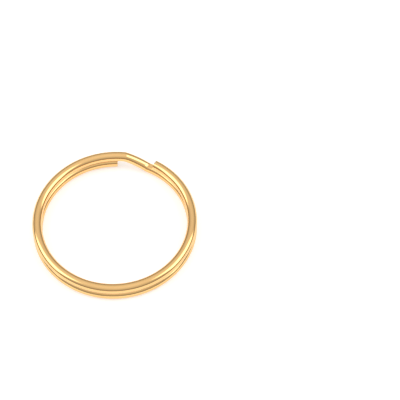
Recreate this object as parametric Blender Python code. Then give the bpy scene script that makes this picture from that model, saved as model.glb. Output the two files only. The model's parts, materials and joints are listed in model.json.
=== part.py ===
"""Split key ring: one round spring wire wound in two flat turns with a step between them.

The wire is cut into short stretches where it flexes, so that either turn can be opened.
Winding angles are in degrees along the wire: 0 is the middle of the step, the lower turn
is negative, the upper turn is positive, and both end at a sheared tip.
"""

import math

import bpy
from mathutils import Matrix, Vector

# Driving dimensions, in metres and degrees
OUTER_DIAMETER = 0.025
WIRE_DIAMETER = 0.0015
TURN_GAP = 0.00005        # air between the two closed turns
CUT_GAP = 0.0001          # air between neighbouring stretches
TIP_WINDING = 345.0       # from the middle of the step to either tip
SLOPE_ANGLE = 18.0        # arc in which the wire climbs one turn
BEND_ANGLE = 1.0          # half of the arc of each bend of the step
STEP_AZIMUTH = 90.0       # where the middle of the step lies, from +X towards +Y
STEP_END = 12.0           # winding at either end of the step's own stretch
FLEXURE_PITCH = 45.0      # arc between neighbouring flexures
FLEXURES_PER_TURN = 7
TWIST_TO_BEND = 1.3       # how much more easily a round steel wire twists than bends

# Fineness of the facets
SECTION_SIDES = 12
STEP_FACET = 1.0          # arc of one facet in the step
TURN_FACET = 4.5          # arc of one facet in the turns
END_FACET = 0.4           # arc of the thin facet that squares each end

CENTRE_RADIUS = (OUTER_DIAMETER - WIRE_DIAMETER) / 2
LOWER_HEIGHT = WIRE_DIAMETER / 2
UPPER_HEIGHT = LOWER_HEIGHT + WIRE_DIAMETER + TURN_GAP
HALF_SIDE = math.pi / SECTION_SIDES
CORNER_RADIUS = WIRE_DIAMETER / 2 / math.cos(HALF_SIDE)

GOLD = (0.94, 0.60, 0.26, 1.0)


def clear_scene():
    """Remove whatever the open file holds."""
    for item in list(bpy.data.objects):
        bpy.data.objects.remove(item, do_unlink=True)


def gold_plate(name):
    """A gold-plated finish of its own for one stretch."""
    material = bpy.data.materials.new(name + "_gold_plate")
    material.use_nodes = True
    shader = material.node_tree.nodes["Principled BSDF"]
    shader.inputs["Base Color"].default_value = GOLD
    shader.inputs["Metallic"].default_value = 1.0
    shader.inputs["Roughness"].default_value = 0.12
    return material


def eased(distance):
    """A straight line from zero, with its corner rounded over the bend's arc."""
    if distance <= -BEND_ANGLE:
        return 0.0
    if distance >= BEND_ANGLE:
        return distance
    return (distance + BEND_ANGLE) ** 2 / (4 * BEND_ANGLE)


def height(winding):
    """Height of the wire's centre line."""
    half_slope = SLOPE_ANGLE / 2
    climb = (eased(winding + half_slope) - eased(winding - half_slope)) / SLOPE_ANGLE
    return LOWER_HEIGHT + (UPPER_HEIGHT - LOWER_HEIGHT) * climb


def radial(winding):
    """Unit vector from the ring's axis towards the wire."""
    azimuth = math.radians(STEP_AZIMUTH + winding)
    return Vector((math.cos(azimuth), math.sin(azimuth), 0.0))


def centre_line(winding):
    """Point on the wire's centre line."""
    return radial(winding) * CENTRE_RADIUS + Vector((0.0, 0.0, height(winding)))


def flexure_axis(winding):
    """Unit axis about which the wire's next stretch turns when its turn is opened.

    A force that lifts the free tip twists the wire in proportion to 1 - cos(reach) and
    bends it in proportion to sin(reach). Past half a turn from the tip the other turn
    backs the wire, so that it only twists there.
    """
    reach = math.radians(TIP_WINDING - abs(winding))
    twist = TWIST_TO_BEND * (1 - math.cos(reach))
    bend = math.copysign(max(math.sin(reach), 0.0), winding)
    along = Vector((0.0, 0.0, 1.0)).cross(radial(winding))
    return (along * twist + radial(winding) * bend).normalized()


def facet_windings(start, end, facet):
    """Windings of the sections of one stretch, with thin facets that square its ends."""
    half_gap = math.degrees(CUT_GAP / 2 / CENTRE_RADIUS)
    first = start if start == -TIP_WINDING else start + half_gap
    last = end if end == TIP_WINDING else end - half_gap
    count = round((end - start) / facet)
    inner = [start + (end - start) * index / count for index in range(1, count)]
    return [first, first + END_FACET, *inner, last - END_FACET, last]


def make_stretch(name, start, end, facet, origin, collection):
    """One stretch of wire as a curve with a flat facet underneath, its origin at a flexure."""
    curve = bpy.data.curves.new(name, "CURVE")
    curve.dimensions = "3D"
    curve.twist_mode = "Z_UP"
    curve.bevel_depth = CORNER_RADIUS
    curve.bevel_resolution = (SECTION_SIDES - 4) // 2
    curve.use_fill_caps = True
    windings = facet_windings(start, end, facet)
    spline = curve.splines.new("POLY")
    spline.points.add(len(windings) - 1)
    for point, winding in zip(spline.points, windings):
        point.co = (*(centre_line(winding) - origin), 1.0)
        point.tilt = HALF_SIDE
    curve.materials.append(gold_plate(name))
    stretch = bpy.data.objects.new(name, curve)
    stretch.location = origin
    collection.objects.link(stretch)
    return stretch


def make_flexure(name, winding, parent, collection):
    """An empty on the wire's centre line whose Z axis is the flexure's axis."""
    flexure = bpy.data.objects.new(name, None)
    flexure.empty_display_type = "SINGLE_ARROW"
    flexure.empty_display_size = OUTER_DIAMETER / 5
    turn = flexure_axis(winding).to_track_quat("Z", "Y").to_matrix().to_4x4()
    flexure.matrix_basis = Matrix.Translation(centre_line(winding)) @ turn
    collection.objects.link(flexure)
    attach(flexure, parent)
    return flexure


def rest_matrix(item):
    """Where an object or a flexure stands in the world when the ring is closed."""
    return item.matrix_basis if item else Matrix.Identity(4)


def attach(child, parent):
    """Parent an object and leave it where it stands."""
    if parent:
        child.parent = parent
        child.matrix_parent_inverse = rest_matrix(parent).inverted()


def stretches():
    """Each stretch from the lower tip to the upper one: name, start, end and facet."""
    turn_ends = [FLEXURE_PITCH * index for index in range(1, FLEXURES_PER_TURN + 1)]
    upper = [("upper_heel", STEP_END, turn_ends[0], TURN_FACET)]
    for index in range(FLEXURES_PER_TURN - 1):
        upper.append((f"upper_turn_{index + 1}", turn_ends[index], turn_ends[index + 1], TURN_FACET))
    upper.append(("upper_tip", turn_ends[-1], TIP_WINDING, TURN_FACET))
    lower = [(name.replace("upper", "lower"), -end, -start, facet) for name, start, end, facet in upper]
    return [*reversed(lower), ("crossover_step", -STEP_END, STEP_END, STEP_FACET), *upper]


def flexure_name(winding):
    """Name of the flexure at a winding, counted from the step on either turn."""
    turn = "lower" if winding < 0 else "upper"
    return f"{turn}_flexure_{round(abs(winding) / FLEXURE_PITCH)}"


def build_ring():
    """Chain the stretches from the lower tip through the step to the upper tip."""
    collection = bpy.data.collections.new("split_key_ring")
    bpy.context.scene.collection.children.link(collection)
    windings = {FLEXURE_PITCH * index for index in range(1, FLEXURES_PER_TURN + 1)}
    flexure = None
    origin = centre_line(-TIP_WINDING)
    for name, start, end, facet in stretches():
        if abs(start) in windings:
            flexure = make_flexure(flexure_name(start), start, flexure, collection)
            origin = centre_line(start)
        attach(make_stretch(name, start, end, facet, origin, collection), flexure)


clear_scene()
build_ring()
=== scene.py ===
"""Looks of a split key ring: bright gold plate over one wound spring wire, in a pale studio.

The wire is swept along its winding by Geometry Nodes, one mesh for each flexure. Lengths are in
metres, and windings in degrees along the wire: 0 is the middle of the step, the lower turn is
negative and the upper positive.
"""

from __future__ import annotations

import json
import logging
import math
from dataclasses import dataclass
from enum import Enum
from typing import ClassVar

import bmesh
import bpy
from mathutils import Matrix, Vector

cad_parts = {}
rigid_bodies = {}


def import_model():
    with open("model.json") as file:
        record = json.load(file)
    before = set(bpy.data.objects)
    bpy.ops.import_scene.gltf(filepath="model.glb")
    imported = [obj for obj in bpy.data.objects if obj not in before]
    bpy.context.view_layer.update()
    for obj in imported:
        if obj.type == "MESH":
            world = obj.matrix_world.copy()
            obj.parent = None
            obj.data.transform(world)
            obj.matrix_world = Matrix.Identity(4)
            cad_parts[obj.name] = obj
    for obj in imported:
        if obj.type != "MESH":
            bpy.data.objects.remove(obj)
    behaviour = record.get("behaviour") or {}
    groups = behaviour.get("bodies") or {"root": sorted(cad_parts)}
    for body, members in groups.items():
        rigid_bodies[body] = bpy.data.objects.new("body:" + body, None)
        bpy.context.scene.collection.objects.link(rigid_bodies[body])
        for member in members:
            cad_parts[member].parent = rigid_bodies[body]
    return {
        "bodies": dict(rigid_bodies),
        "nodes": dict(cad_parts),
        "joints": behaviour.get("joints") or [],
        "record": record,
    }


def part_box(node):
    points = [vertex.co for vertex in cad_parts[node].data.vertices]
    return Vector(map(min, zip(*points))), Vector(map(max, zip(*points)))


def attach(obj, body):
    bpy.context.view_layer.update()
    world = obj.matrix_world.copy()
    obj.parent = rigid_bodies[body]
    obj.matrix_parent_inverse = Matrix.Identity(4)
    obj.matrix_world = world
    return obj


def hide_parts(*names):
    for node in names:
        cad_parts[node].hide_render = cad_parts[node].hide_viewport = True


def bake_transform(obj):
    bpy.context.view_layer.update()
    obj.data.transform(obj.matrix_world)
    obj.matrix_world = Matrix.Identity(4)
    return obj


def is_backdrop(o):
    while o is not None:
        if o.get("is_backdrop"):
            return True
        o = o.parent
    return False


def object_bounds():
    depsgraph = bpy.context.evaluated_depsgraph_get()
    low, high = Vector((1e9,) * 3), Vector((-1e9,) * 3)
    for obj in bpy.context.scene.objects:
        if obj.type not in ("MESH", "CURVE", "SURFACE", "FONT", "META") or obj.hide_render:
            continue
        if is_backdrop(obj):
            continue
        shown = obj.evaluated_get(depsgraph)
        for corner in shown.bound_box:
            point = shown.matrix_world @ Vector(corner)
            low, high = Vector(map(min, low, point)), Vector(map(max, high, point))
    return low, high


LOG = logging.getLogger("split_key_ring")
UP = Vector((0.0, 0.0, 1.0))

Colour = tuple[float, float, float]


class Turn(Enum):
    """The two turns of the winding."""

    LOWER = "lower"
    UPPER = "upper"


class Bench:
    """Puts nodes in a tree and wires them up from left to right."""

    def __init__(self, tree: bpy.types.NodeTree) -> None:
        """Keep the tree that the nodes go in."""
        self.tree = tree

    def add(self, kind: str, inputs: dict | None = None, **settings) -> bpy.types.Node:
        """Add one node.

        Args:
            kind: The node's type name in Blender.
            inputs: Input names or numbers, each with a socket to link or a plain value.
            **settings: The node's own options, set before its inputs.

        Returns:
            The new node.
        """
        node = self.tree.nodes.new(kind)
        for name, value in settings.items():
            setattr(node, name, value)
        for key, value in (inputs or {}).items():
            self.feed(node.inputs[key], value)
        return node

    def feed(self, socket: bpy.types.NodeSocket, value) -> None:
        """Link a socket into another one, or set it to a plain value."""
        if isinstance(value, bpy.types.NodeSocket):
            self.tree.links.new(value, socket)
        else:
            socket.default_value = value

    def math(self, operation: str, *values) -> bpy.types.NodeSocket:
        """Result of a Math node on one, two or three values."""
        node = self.add("ShaderNodeMath", dict(enumerate(values)), operation=operation)
        return node.outputs[0]

    def vector(self, operation: str, *values) -> bpy.types.NodeSocket:
        """Vector result of a Vector Math node, or its number where it makes one."""
        node = self.add("ShaderNodeVectorMath", dict(enumerate(values)), operation=operation)
        return node.outputs["Value" if operation in ("DOT_PRODUCT", "LENGTH") else "Vector"]

    def scaled(self, vector, factor) -> bpy.types.NodeSocket:
        """A vector times a number."""
        node = self.add("ShaderNodeVectorMath", {0: vector, "Scale": factor}, operation="SCALE")
        return node.outputs["Vector"]

    def ramp(self, value, low, high, start=0.0, end=1.0, smooth=False) -> bpy.types.NodeSocket:
        """A value mapped from low and high to start and end, and held outside them."""
        node = self.add(
            "ShaderNodeMapRange",
            {"Value": value, "From Min": low, "From Max": high, "To Min": start, "To Max": end},
            clamp=True,
            interpolation_type="SMOOTHSTEP" if smooth else "LINEAR",
        )
        return node.outputs["Result"]

    def mix(self, factor, first, second) -> bpy.types.NodeSocket:
        """Two colours mixed, each a socket or a plain red, green and blue."""
        node = self.add("ShaderNodeMix", data_type="RGBA")
        self.feed(node.inputs["Factor"], factor)
        colours = [socket for socket in node.inputs if socket.type == "RGBA"]
        for socket, value in zip(colours, (first, second)):
            self.feed(socket, (*value, 1.0) if isinstance(value, tuple) else value)
        return next(socket for socket in node.outputs if socket.type == "RGBA")

    def inputs(self, **sockets: str) -> dict[str, bpy.types.NodeSocket]:
        """Args:
            **sockets: Input names with _ for a space, each with its socket type's last word.

        Returns:
            The Group Input node's sockets by name.
        """
        for name, kind in sockets.items():
            self.tree.interface.new_socket(
                name.replace("_", " "), in_out="INPUT", socket_type=f"NodeSocket{kind}"
            )
        source = self.add("NodeGroupInput")
        return {name: source.outputs[name.replace("_", " ")] for name in sockets}

    def outputs(self, **values) -> None:
        kinds = {"GEOMETRY": "Geometry", "RGBA": "Color", "VECTOR": "Vector"}
        for name, value in values.items():
            self.tree.interface.new_socket(
                name.replace("_", " "),
                in_out="OUTPUT",
                socket_type=f"NodeSocket{kinds.get(value.type, 'Float')}",
            )
        self.add("NodeGroupOutput", {name.replace("_", " "): value for name, value in values.items()})


@dataclass(frozen=True)
class Winding:
    """Sizes of the wound wire, read from the frame."""

    centre_radius: float
    wire_radius: float
    rise: float
    tip: float
    slope_arc: float = 18.0
    bend_arc: float = 1.0
    step_azimuth: float = 90.0

    @classmethod
    def of_frame(cls, frame: dict, low: Vector, high: Vector) -> Winding:
        """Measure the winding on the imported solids.

        Args:
            low: Lowest corner of the whole object.
            high: Highest corner of the whole object.

        Returns:
            The winding's sizes.
        """
        lower_low, lower_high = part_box("lower_turn_3")
        upper_low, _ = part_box("upper_turn_3")
        wire_radius = (lower_high.z - lower_low.z) / 2
        tip_points = [vertex.co for vertex in frame["nodes"]["upper_tip"].data.vertices]
        tip_azimuth = max(math.degrees(math.atan2(point.y, point.x)) for point in tip_points)
        return cls(
            centre_radius=(high.x - low.x) / 2 - wire_radius,
            wire_radius=wire_radius,
            rise=upper_low.z - lower_low.z,
            tip=360.0 + tip_azimuth - cls.step_azimuth,
        )

    def point(self, winding: float) -> Vector:
        """Point on the centre line of either turn, away from the step."""
        azimuth = math.radians(self.step_azimuth + winding)
        flat = Vector((math.cos(azimuth), math.sin(azimuth), 0.0)) * self.centre_radius
        return flat + UP * (self.wire_radius + (self.rise if winding > 0 else 0.0))

    def winding_at(self, place: Vector, turn: Turn) -> float:
        """Winding of a place on one of the turns."""
        azimuth = math.degrees(math.atan2(place.y, place.x)) - self.step_azimuth
        return azimuth % 360.0 if turn is Turn.UPPER else azimuth % 360.0 - 360.0


@dataclass(frozen=True)
class DieMark:
    """A flat that a forming die pressed into the side of the wire that faces the nearer tip.

    Start and end are in degrees from the step's middle, depth is in metres, and inward is the
    die's tilt towards the ring's axis in degrees.
    """

    name: str
    start: float
    end: float
    depth: float
    inward: float = 0.0


LEAD_IN = 0.7  # arc over which a die's mark starts or ends, in degrees
EDGE_ROUND = 0.8  # rounding of a mark's edges, as a share of its depth
FULLY_PRESSED = 0.00001  # how far the surface has moved where it counts as pressed
DIE_MARKS = (
    DieMark("Heel", start=6.2, end=7.9, depth=0.000032, inward=12.0),
    DieMark("Nick", start=10.0, end=13.0, depth=0.00008),
)


class WireSweep:
    """The Geometry Nodes tree that sweeps a stretch of wire along its winding."""

    TURN_FACET = 0.5
    STEP_FACET = 0.2
    SIDES = 72
    END_SHARE = 0.1
    MARK_SIZES = ("Start", "End", "Depth", "Inward")

    def __init__(self, winding: Winding, marks: tuple[DieMark, ...]) -> None:
        """Build the tree.

        Args:
            winding: Sizes of the wound wire.
            marks: Flats round the step.
        """
        self.winding = winding
        self.marks = marks
        self.tree = bpy.data.node_groups.new("wire_sweep", "GeometryNodeTree")
        self.tree.is_modifier = True
        bench = Bench(self.tree)
        sizes = bench.inputs(
            Start="Float",
            End="Float",
            Facet="Float",
            Sides="Int",
            Centre_Radius="Float",
            Wire_Radius="Float",
            Rise="Float",
            Slope_Arc="Float",
            Bend_Arc="Float",
            Step_Azimuth="Float",
            Material="Material",
            **{f"{mark.name}_{size}": "Float" for mark in marks for size in self.MARK_SIZES},
        )
        curve, winding_field = self._path(bench, sizes)
        mesh, captured = self._sweep(bench, sizes, curve, winding_field)
        mesh = self._press(bench, sizes, mesh, captured)
        mesh = bench.add("GeometryNodeSetShadeSmooth", {"Geometry": mesh}).outputs[0]
        mesh = bench.add("GeometryNodeRealizeInstances", {"Geometry": mesh}).outputs[0]
        coated = bench.add("GeometryNodeSetMaterial", {"Geometry": mesh, "Material": sizes["Material"]})
        bench.outputs(Geometry=coated.outputs[0])

    @staticmethod
    def _eased(bench: Bench, distance, bend) -> bpy.types.NodeSocket:
        """A straight line from zero with its corner rounded over the bend's arc."""
        lowest = bench.math("MULTIPLY", bend, -1.0)
        held = bench.math("MAXIMUM", bench.math("MINIMUM", distance, bend), lowest)
        root = bench.math("ADD", held, bend)
        squared = bench.math("MULTIPLY", root, root)
        round_part = bench.math("DIVIDE", squared, bench.math("MULTIPLY", bend, 4.0))
        beyond = bench.math("MAXIMUM", bench.math("SUBTRACT", distance, bend), 0.0)
        return bench.math("ADD", round_part, beyond)

    def _path(self, bench: Bench, sizes: dict) -> tuple:
        """The wire's centre line.

        Args:
            bench: The tree's bench.
            sizes: The tree's inputs.

        Returns:
            The curve, and the field that gives each point's winding.
        """
        arc = bench.math("SUBTRACT", sizes["End"], sizes["Start"])
        count = bench.math("ADD", bench.math("ROUND", bench.math("DIVIDE", arc, sizes["Facet"])), 3.0)
        line = bench.add("GeometryNodeMeshLine", {"Count": count}).outputs[0]
        curve = bench.add("GeometryNodeMeshToCurve", {"Mesh": line}).outputs[0]
        index = bench.add("GeometryNodeInputIndex").outputs[0]
        winding = bench.ramp(
            index,
            1.0 - self.END_SHARE,
            bench.math("SUBTRACT", count, 2.0 - self.END_SHARE),
            sizes["Start"],
            sizes["End"],
        )
        half_slope = bench.math("MULTIPLY", sizes["Slope_Arc"], 0.5)
        foot = self._eased(bench, bench.math("ADD", winding, half_slope), sizes["Bend_Arc"])
        head = self._eased(bench, bench.math("SUBTRACT", winding, half_slope), sizes["Bend_Arc"])
        climb = bench.math("DIVIDE", bench.math("SUBTRACT", foot, head), sizes["Slope_Arc"])
        height = bench.math("MULTIPLY_ADD", climb, sizes["Rise"], sizes["Wire_Radius"])
        azimuth = bench.math("RADIANS", bench.math("ADD", winding, sizes["Step_Azimuth"]))
        place = bench.add(
            "ShaderNodeCombineXYZ",
            {
                "X": bench.math("MULTIPLY", bench.math("COSINE", azimuth), sizes["Centre_Radius"]),
                "Y": bench.math("MULTIPLY", bench.math("SINE", azimuth), sizes["Centre_Radius"]),
                "Z": height,
            },
        ).outputs[0]
        placed = bench.add("GeometryNodeSetPosition", {"Geometry": curve, "Position": place})
        return placed.outputs[0], winding

    @staticmethod
    def _sweep(bench: Bench, sizes: dict, curve, winding) -> tuple:
        """Sweep the round section and keep where each of its points came from.

        Args:
            bench: The tree's bench.
            sizes: The tree's inputs.
            curve: The centre line.
            winding: Field of each point's winding.

        Returns:
            The mesh, and its centre, tangent and winding fields by name.
        """
        upright = bench.add("GeometryNodeSetCurveNormal", {"Curve": curve}, mode="Z_UP").outputs[0]
        capture = bench.add("GeometryNodeCaptureAttribute", {"Geometry": upright})
        fields = {
            "centre": ("VECTOR", bench.add("GeometryNodeInputPosition").outputs[0]),
            "tangent": ("VECTOR", bench.add("GeometryNodeInputTangent").outputs[0]),
            "winding": ("FLOAT", winding),
        }
        for name, (kind, source) in fields.items():
            capture.capture_items.new(kind, name)
            bench.feed(capture.inputs[name], source)
        section = bench.add(
            "GeometryNodeCurvePrimitiveCircle",
            {"Resolution": sizes["Sides"], "Radius": sizes["Wire_Radius"]},
            mode="RADIUS",
        ).outputs[0]
        mesh = bench.add(
            "GeometryNodeCurveToMesh",
            {"Curve": capture.outputs["Geometry"], "Profile Curve": section, "Fill Caps": True},
        ).outputs[0]
        return mesh, {name: capture.outputs[name] for name in fields}

    def _press(self, bench: Bench, sizes: dict, mesh, captured: dict) -> bpy.types.NodeSocket:
        """Press the die's flats and nicks into the wire, and store its own coordinates.

        Args:
            bench: The tree's bench.
            sizes: The tree's inputs.
            mesh: The swept wire.
            captured: Its centre, tangent and winding fields.

        Returns:
            The pressed mesh, with the attributes wire_coord and pressed.
        """
        tangent, winding = captured["tangent"], captured["winding"]
        outward = bench.vector("NORMALIZE", bench.vector("CROSS_PRODUCT", tangent, tuple(UP)))
        upward = bench.vector("CROSS_PRODUCT", outward, tangent)
        here = bench.add("GeometryNodeInputPosition").outputs[0]
        swept = bench.vector("SUBTRACT", here, captured["centre"])
        reach = bench.math("ABSOLUTE", winding)
        below = bench.math("GREATER_THAN", winding, 0.0)
        facing = bench.math("MULTIPLY_ADD", below, -2.0, 1.0)

        offset = swept
        for mark in self.marks:
            start, end, depth, tilt = (sizes[f"{mark.name}_{size}"] for size in self.MARK_SIZES)
            arriving = bench.ramp(reach, bench.math("SUBTRACT", start, LEAD_IN), start, smooth=True)
            leaving = bench.ramp(reach, end, bench.math("ADD", end, LEAD_IN), 1.0, 0.0, smooth=True)
            within = bench.math("MULTIPLY", arriving, leaving)
            lean = bench.math("RADIANS", tilt)
            rising = bench.scaled(upward, bench.math("MULTIPLY", bench.math("COSINE", lean), facing))
            press = bench.vector("SUBTRACT", rising, bench.scaled(outward, bench.math("SINE", lean)))
            bed = bench.math("SUBTRACT", sizes["Wire_Radius"], bench.math("MULTIPLY", within, depth))
            excess = bench.math("SUBTRACT", bench.vector("DOT_PRODUCT", offset, press), bed)
            rounding = bench.math("MULTIPLY", within, bench.math("MULTIPLY", depth, EDGE_ROUND))
            pushed = bench.math("SMOOTH_MAX", excess, 0.0, rounding)
            offset = bench.vector("SUBTRACT", offset, bench.scaled(press, pushed))

        place = bench.vector("ADD", captured["centre"], offset)
        moved = bench.add("GeometryNodeSetPosition", {"Geometry": mesh, "Position": place}).outputs[0]
        across = bench.vector("DOT_PRODUCT", offset, outward)
        over = bench.vector("DOT_PRODUCT", offset, upward)
        change = bench.vector("LENGTH", bench.vector("SUBTRACT", swept, offset))
        pressed = bench.ramp(change, 0.0, FULLY_PRESSED)
        along = bench.math("MULTIPLY", bench.math("RADIANS", winding), sizes["Centre_Radius"])
        coordinate = bench.add("ShaderNodeCombineXYZ", {"X": across, "Y": over, "Z": along}).outputs[0]
        stored = bench.add(
            "GeometryNodeStoreNamedAttribute",
            {"Geometry": moved, "Name": "wire_coord", "Value": coordinate},
            data_type="FLOAT_VECTOR",
            domain="POINT",
        ).outputs[0]
        return bench.add(
            "GeometryNodeStoreNamedAttribute",
            {"Geometry": stored, "Name": "pressed", "Value": pressed},
            data_type="FLOAT",
            domain="POINT",
        ).outputs[0]

    def bake(
        self, name: str, start: float, end: float, facet: float, finish: bpy.types.Material
    ) -> bpy.types.Object:
        """Sweep one stretch and turn it into a plain mesh.

        Args:
            name: Name of the piece.
            start: Winding where it starts.
            end: Winding where it ends.
            facet: Arc between neighbouring sections.
            finish: Material of its surface.

        Returns:
            The new mesh object, with no modifier.
        """
        values = {
            "Start": start,
            "End": end,
            "Facet": facet,
            "Sides": self.SIDES,
            "Centre Radius": self.winding.centre_radius,
            "Wire Radius": self.winding.wire_radius,
            "Rise": self.winding.rise,
            "Slope Arc": self.winding.slope_arc,
            "Bend Arc": self.winding.bend_arc,
            "Step Azimuth": self.winding.step_azimuth,
            "Material": finish,
        }
        for mark in self.marks:
            for size in self.MARK_SIZES:
                values[f"{mark.name} {size}"] = getattr(mark, size.lower())
        host = bpy.data.objects.new(name + "_host", bpy.data.meshes.new(name + "_host"))
        bpy.context.scene.collection.objects.link(host)
        modifier = host.modifiers.new("sweep", "NODES")
        modifier.node_group = self.tree
        for item in self.tree.interface.items_tree:
            if item.in_out == "INPUT":
                modifier[item.identifier] = values[item.name]
        bpy.context.view_layer.update()
        graph = bpy.context.evaluated_depsgraph_get()
        mesh = bpy.data.meshes.new_from_object(host.evaluated_get(graph), depsgraph=graph)
        bpy.data.objects.remove(host)
        mesh.name = name
        piece = bpy.data.objects.new(name, mesh)
        bpy.context.scene.collection.objects.link(piece)
        return piece


class ShaderGroups:
    """Effects that more than one finish uses, each built once as a node group."""

    WAVE_SCALE = 300.0
    PATCH_SCALE = 1400.0
    TIP_WEAR_LENGTH = 0.0012
    CONTACT_FROM = 0.93  # share of the wire's radius past which the two turns rub

    def __init__(self) -> None:
        """Build the groups."""
        self.tone = self._tone()
        self.grain = self._grain()
        self.wear = self._wear()

    @staticmethod
    def _noise(bench: Bench, vector, scale, detail: float, roughness: float) -> bpy.types.NodeSocket:
        """Value of a Noise texture."""
        node = bench.add(
            "ShaderNodeTexNoise",
            {"Vector": vector, "Scale": scale, "Detail": detail, "Roughness": roughness},
        )
        return node.outputs[0]

    def _tone(self) -> bpy.types.NodeTree:
        """Slow drift of the plating's colour, from a paler to a deeper gold."""
        tree = bpy.data.node_groups.new("plating_tone", "ShaderNodeTree")
        bench = Bench(tree)
        given = bench.inputs(Vector="Vector", Scale="Float", Contrast="Float")
        broad = self._noise(bench, given["Vector"], given["Scale"], 2.0, 0.5)
        fine = self._noise(bench, given["Vector"], bench.math("MULTIPLY", given["Scale"], 7.0), 3.0, 0.6)
        both = bench.math("MULTIPLY_ADD", fine, 0.35, bench.math("MULTIPLY", broad, 0.65))
        centred = bench.math("SUBTRACT", both, 0.5)
        tone = bench.math("MULTIPLY_ADD", centred, given["Contrast"], 0.5)
        bench.outputs(Tone=bench.ramp(tone, 0.0, 1.0))
        return tree

    def _grain(self) -> bpy.types.NodeTree:
        """Fine drawing lines that run along the wire, and the slow waviness under them."""
        tree = bpy.data.node_groups.new("drawn_grain", "ShaderNodeTree")
        bench = Bench(tree)
        given = bench.inputs(Wire_Coord="Vector", Density="Float", Stretch="Float", Waviness="Float")
        squeeze = bench.add("ShaderNodeCombineXYZ", {"X": 1.0, "Y": 1.0, "Z": given["Stretch"]}).outputs[0]
        drawn = bench.vector("MULTIPLY", given["Wire_Coord"], squeeze)
        lines = self._noise(bench, drawn, given["Density"], 3.0, 0.65)
        wave = self._noise(bench, given["Wire_Coord"], self.WAVE_SCALE, 1.0, 0.4)
        height = bench.math("MULTIPLY_ADD", wave, given["Waviness"], lines)
        bench.outputs(Lines=lines, Height=height)
        return tree

    def _wear(self) -> bpy.types.NodeTree:
        """Where the plate is rubbed: near the tips and where the two turns meet."""
        tree = bpy.data.node_groups.new("rubbed_plate", "ShaderNodeTree")
        bench = Bench(tree)
        given = bench.inputs(Wire_Coord="Vector", Half_Length="Float", Wire_Radius="Float", Amount="Float")
        parts = bench.add("ShaderNodeSeparateXYZ", {"Vector": given["Wire_Coord"]})
        over, along = parts.outputs["Y"], parts.outputs["Z"]
        to_tip = bench.math("SUBTRACT", given["Half_Length"], bench.math("ABSOLUTE", along))
        near_tip = bench.ramp(to_tip, 0.0, self.TIP_WEAR_LENGTH, 1.0, 0.0, smooth=True)
        facing = bench.math("MULTIPLY", over, bench.math("SIGN", bench.math("MULTIPLY", along, -1.0)))
        reach = bench.math("DIVIDE", facing, given["Wire_Radius"])
        contact = bench.ramp(reach, self.CONTACT_FROM, 1.0, smooth=True)
        patches = self._noise(bench, given["Wire_Coord"], self.PATCH_SCALE, 4.0, 0.7)
        broken = bench.ramp(patches, 0.42, 0.62, smooth=True)
        where = bench.math("MAXIMUM", near_tip, contact)
        bench.outputs(Wear=bench.math("MULTIPLY", bench.math("MULTIPLY", where, broken), given["Amount"]))
        return tree


@dataclass(frozen=True)
class GoldFinish:
    """One gold-plated finish of the wire."""

    TONE_SCALE: ClassVar[float] = 160.0
    TONE_CONTRAST: ClassVar[float] = 1.6
    LINE_DENSITY: ClassVar[float] = 9000.0
    LINE_STRETCH: ClassVar[float] = 0.02
    LINE_ROUGHNESS: ClassVar[float] = 0.08
    WEAR_ROUGHNESS: ClassVar[float] = 0.15

    name: str
    pale: Colour
    deep: Colour
    worn: Colour
    roughness: float
    pressed_roughness: float
    line_depth: float
    waviness: float
    wear: float

    def material(self, groups: ShaderGroups, winding: Winding) -> bpy.types.Material:
        """Build the finish.

        Args:
            groups: Shared effects.
            winding: Sizes of the wound wire.

        Returns:
            The node material.
        """
        material = bpy.data.materials.new(self.name)
        material.use_nodes = True
        bench = Bench(material.node_tree)
        shader = material.node_tree.nodes["Principled BSDF"]
        shader.inputs["Metallic"].default_value = 1.0

        place = bench.add("ShaderNodeTexCoord").outputs["Object"]
        coord = bench.add("ShaderNodeAttribute", attribute_name="wire_coord").outputs["Vector"]
        pressed = bench.add("ShaderNodeAttribute", attribute_name="pressed").outputs["Fac"]
        tone = self._group(
            bench,
            groups.tone,
            {"Vector": place, "Scale": self.TONE_SCALE, "Contrast": self.TONE_CONTRAST},
        )
        grain = self._group(
            bench,
            groups.grain,
            {
                "Wire Coord": coord,
                "Density": self.LINE_DENSITY,
                "Stretch": self.LINE_STRETCH,
                "Waviness": self.waviness,
            },
        )
        wear = self._group(
            bench,
            groups.wear,
            {
                "Wire Coord": coord,
                "Half Length": math.radians(winding.tip) * winding.centre_radius,
                "Wire Radius": winding.wire_radius,
                "Amount": self.wear,
            },
        )
        plated = bench.mix(tone.outputs["Tone"], self.pale, self.deep)
        bench.feed(shader.inputs["Base Color"], bench.mix(wear.outputs["Wear"], plated, self.worn))

        smoothest = self.roughness - self.LINE_ROUGHNESS / 2
        streaks = bench.math("MULTIPLY_ADD", grain.outputs["Lines"], self.LINE_ROUGHNESS, smoothest)
        rubbed = bench.math("MULTIPLY_ADD", wear.outputs["Wear"], self.WEAR_ROUGHNESS, streaks)
        dulled = bench.math("MULTIPLY_ADD", pressed, self.pressed_roughness - self.roughness, rubbed)
        bench.feed(shader.inputs["Roughness"], dulled)

        bump = bench.add(
            "ShaderNodeBump",
            {"Height": grain.outputs["Height"], "Strength": 1.0, "Distance": self.line_depth},
        )
        bench.feed(shader.inputs["Normal"], bump.outputs["Normal"])
        return material

    @staticmethod
    def _group(bench: Bench, tree: bpy.types.NodeTree, inputs: dict) -> bpy.types.Node:
        """Place a shared effect with this finish's own values."""
        node = bench.add("ShaderNodeGroup", node_tree=tree)
        for name, value in inputs.items():
            bench.feed(node.inputs[name], value)
        return node


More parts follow.
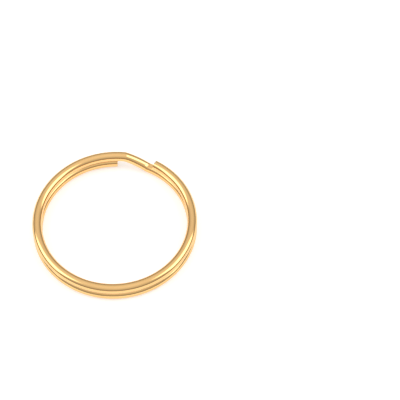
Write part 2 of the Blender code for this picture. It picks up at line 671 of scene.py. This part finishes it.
PLATE = GoldFinish(
    name="polished_gold_plate",
    pale=(0.94, 0.60, 0.26),
    deep=(0.88, 0.54, 0.22),
    worn=(0.90, 0.66, 0.38),
    roughness=0.06,
    pressed_roughness=0.13,
    line_depth=0.0000008,
    waviness=22.0,
    wear=0.5,
)
SHEARED = GoldFinish(
    name="sheared_gold_plate",
    pale=(0.90, 0.60, 0.28),
    deep=(0.80, 0.48, 0.20),
    worn=(0.85, 0.65, 0.40),
    roughness=0.34,
    pressed_roughness=0.4,
    line_depth=0.000012,
    waviness=1.0,
    wear=0.9,
)


@dataclass(frozen=True)
class Flexure:
    """One place where the wire flexes, between two bodies."""

    name: str
    turn: Turn
    parent: str
    child: str
    winding: float

    @property
    def number(self) -> int:
        """How many flexures it lies from the step."""
        return int(self.name.rsplit("_", 1)[1])


@dataclass
class SplitRing:
    """The wound wire, from its lower tip to its upper one."""

    winding: Winding
    sweep: WireSweep
    plate: bpy.types.Material
    sheared: bpy.types.Material
    tip_round: float = 0.00009
    sharp_angle: float = 12.0

    def flexures(self, frame: dict) -> list[Flexure]:
        """The frame's flexures in order along the wire, from the lower tip."""
        found = []
        for joint in frame["joints"]:
            turn = Turn(joint["name"].split("_")[0])
            place = Vector(joint["pos_m"])
            winding = self.winding.winding_at(place, turn)
            found.append(Flexure(joint["name"], turn, joint["parent"], joint["child"], winding))
        return sorted(found, key=lambda flexure: flexure.winding)

    def build(self, frame: dict) -> list[bpy.types.Object]:
        """Sweep and finish every piece of the wire, and attach the step's piece to its body.

        Returns:
            The pieces, from the lower tip to the upper one.
        """
        flexures = self.flexures(frame)
        bodies = frame["record"]["behaviour"]["bodies"]
        seams = [(a.winding + b.winding) / 2 for a, b in zip(flexures, flexures[1:])]
        step_at = next(index for index, seam in enumerate(seams) if abs(seam) < 1.0)
        heel = flexures[step_at + 1].winding / 2
        seams[step_at : step_at + 1] = [-heel, heel]
        starts = [-self.winding.tip, *seams]
        ends = [*seams, self.winding.tip]
        pieces = []
        for index, (start, end) in enumerate(zip(starts, ends)):
            if index == step_at + 1:
                body = flexures[step_at].child
                piece = self.sweep.bake("step_wire", start, end, WireSweep.STEP_FACET, self.plate)
                self.finish(piece)
                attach(piece, body)
                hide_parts(*bodies[body])
            else:
                flexure = flexures[index if index <= step_at else index - 1]
                piece = self.flexing(flexure, start, end, bodies)
            pieces.append(piece)
            LOG.info("%s: windings %.1f to %.1f", piece.name, start, end)
        return pieces

    def flexing(self, flexure: Flexure, start: float, end: float, bodies: dict) -> bpy.types.Object:
        """One piece of wire that spans a flexure.

        Args:
            flexure: Where it flexes.
            start: Winding where it starts.
            end: Winding where it ends.
            bodies: The frame's nodes by body.

        Returns:
            The piece, blended between the flexure's two bodies.
        """
        outer = flexure.parent if flexure.turn is Turn.LOWER else flexure.child
        piece = self.sweep.bake(f"{outer}_wire", start, end, WireSweep.TURN_FACET, self.plate)
        for tip in (start, end):
            if abs(abs(tip) - self.winding.tip) < 1e-6:
                self.shear(piece, tip)
        self.finish(piece)
        inset = math.degrees(self.winding.wire_radius / self.winding.centre_radius) / 2
        first, last = start, end
        if end == self.winding.tip:
            last = min(end, 2 * flexure.winding - start)
        if start == -self.winding.tip:
            first = max(start, 2 * flexure.winding - end)
        self.winding.point(first + inset)
        self.winding.point(last - inset)
        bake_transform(piece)
        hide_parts(*bodies[outer])
        return piece

    def shear(self, piece: bpy.types.Object, tip: float) -> None:
        """Round the rim of a sheared tip and give its face the rougher finish.

        Args:
            piece: The piece that ends in the tip.
            tip: The tip's winding.
        """
        centre = self.winding.point(tip)
        piece.data.materials.append(self.sheared)
        mesh = bmesh.new()
        mesh.from_mesh(piece.data)
        cap = min(
            (face for face in mesh.faces if len(face.verts) > 4),
            key=lambda face: (face.calc_center_median() - centre).length,
        )
        cap.material_index = 1
        bmesh.ops.bevel(
            mesh,
            geom=list(cap.edges),
            offset=self.tip_round,
            segments=3,
            profile=0.5,
            affect="EDGES",
            material=-1,
        )
        mesh.to_mesh(piece.data)
        mesh.free()

    def finish(self, piece: bpy.types.Object) -> None:
        """Shade a piece smooth, with its crisp creases kept."""
        piece.data.shade_smooth()
        piece.data.set_sharp_from_angle(angle=math.radians(self.sharp_angle))


@dataclass(frozen=True)
class Softbox:
    """A soft white rectangle of light over the ring, as seen from it, in degrees."""

    name: str
    azimuth: float
    elevation: float = 45.0
    size: float = 40.0
    softness: float = 5.0
    strength: float = 2.5


@dataclass(frozen=True)
class Studio:
    """Pale floor, white light and camera. Azimuths are from the camera's right, towards the back."""

    camera_turn: float = 15.4
    camera_elevation: float = 57.9
    camera_distance: float = 0.268
    camera_lens: float = 156.3
    target_right: float = 0.01293
    target_forward: float = 0.0052
    floor_size: float = 1.6
    floor_colour: Colour = (0.80, 0.80, 0.80)
    floor_glow: float = 0.40
    horizon: Colour = (0.20, 0.20, 0.20)
    zenith: Colour = (1.00, 1.00, 1.00)
    softboxes: tuple[Softbox, ...] = (
        Softbox("left_softbox", azimuth=180.0),
        Softbox("right_softbox", azimuth=0.0),
    )

    def direction(self, azimuth: float, elevation: float) -> Vector:
        """Unit vector from the ring towards a place of the tent."""
        turn = math.radians(azimuth + self.camera_turn)
        rise = math.radians(elevation)
        return Vector((math.cos(turn) * math.cos(rise), math.sin(turn) * math.cos(rise), math.sin(rise)))

    def build(self, level: float) -> None:
        """Make the floor, the tent and the camera.

        Args:
            level: Height of the floor.
        """
        self.floor(level)
        self.tent()
        self.camera(level)

    def floor(self, level: float) -> None:
        """A plain pale floor."""
        bpy.ops.mesh.primitive_plane_add(size=self.floor_size, location=(0.0, 0.0, level))
        floor = bpy.context.object
        floor.name = "studio_floor"
        material = bpy.data.materials.new("pale_floor")
        material.use_nodes = True
        shader = material.node_tree.nodes["Principled BSDF"]
        shader.inputs["Base Color"].default_value = (*self.floor_colour, 1.0)
        shader.inputs["Roughness"].default_value = 1.0
        shader.inputs["Specular IOR Level"].default_value = 0.0
        shader.inputs["Emission Color"].default_value = (1.0, 1.0, 1.0, 1.0)
        shader.inputs["Emission Strength"].default_value = self.floor_glow
        floor.data.materials.append(material)
        floor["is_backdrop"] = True

    def tent(self) -> None:
        """The light tent: an even white dome with softboxes in it."""
        world = bpy.data.worlds.new("light_tent")
        world.use_nodes = True
        bpy.context.scene.world = world
        bench = Bench(world.node_tree)
        background = world.node_tree.nodes["Background"]
        looking = bench.add("ShaderNodeTexCoord").outputs["Generated"]
        height = bench.add("ShaderNodeSeparateXYZ", {"Vector": looking}).outputs["Z"]
        light = bench.mix(bench.ramp(height, 0.0, 1.0), self.horizon, self.zenith)
        for softbox in self.softboxes:
            mask = self._softbox_mask(bench, looking, softbox)
            light = bench.mix(mask, light, (softbox.strength,) * 3)
        seen = bench.add("ShaderNodeLightPath").outputs["Is Camera Ray"]
        light = bench.mix(seen, light, (1.0, 1.0, 1.0))
        bench.feed(background.inputs["Color"], light)

    def _softbox_mask(self, bench: Bench, looking, softbox: Softbox) -> bpy.types.NodeSocket:
        """Mask of one softbox, by direction.

        Args:
            bench: The world's bench.
            looking: Direction that the light comes from.
            softbox: The softbox.

        Returns:
            One inside the softbox and zero outside it.
        """
        ahead = self.direction(softbox.azimuth, softbox.elevation)
        right = ahead.cross(UP).normalized()
        top = right.cross(ahead)
        low, high = softbox.size / 2 - softbox.softness, softbox.size / 2 + softbox.softness
        depth = bench.vector("DOT_PRODUCT", looking, tuple(ahead))
        mask = bench.ramp(depth, 0.0, 0.01)
        for axis in (right, top):
            side = bench.math("ABSOLUTE", bench.vector("DOT_PRODUCT", looking, tuple(axis)))
            angle = bench.math("DEGREES", bench.math("ARCTAN2", side, depth))
            mask = bench.math("MULTIPLY", mask, bench.ramp(angle, low, high, 1.0, 0.0, smooth=True))
        return mask

    def camera(self, level: float) -> None:
        """The camera, which looks past the ring from above and in front of it."""
        target = Vector((0.0, 0.0, level))
        target += self.direction(0.0, 0.0) * self.target_right
        target += self.direction(90.0, 0.0) * self.target_forward
        back = self.direction(-90.0, self.camera_elevation)
        data = bpy.data.cameras.new("studio_camera")
        data.lens = self.camera_lens
        data.clip_start = self.camera_distance / 100
        data.clip_end = self.floor_size * 10
        camera = bpy.data.objects.new("studio_camera", data)
        camera.location = target + back * self.camera_distance
        camera.rotation_mode = "QUATERNION"
        camera.rotation_quaternion = (-back).to_track_quat("-Z", "Y")
        bpy.context.scene.collection.objects.link(camera)
        bpy.context.scene.camera = camera


def main() -> None:
    """Build the ring round the frame, then its studio."""
    logging.basicConfig(level=logging.INFO, format="%(message)s")
    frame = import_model()
    cad_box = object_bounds()
    winding = Winding.of_frame(frame, *cad_box)
    groups = ShaderGroups()
    ring = SplitRing(
        winding=winding,
        sweep=WireSweep(winding, DIE_MARKS),
        plate=PLATE.material(groups, winding),
        sheared=SHEARED.material(groups, winding),
    )
    pieces = ring.build(frame)
    LOG.info("%d pieces of wire", len(pieces))
    Studio().build(level=cad_box[0].z)
    bpy.context.scene.view_settings.view_transform = "Standard"


if __name__ == "__main__":
    main()
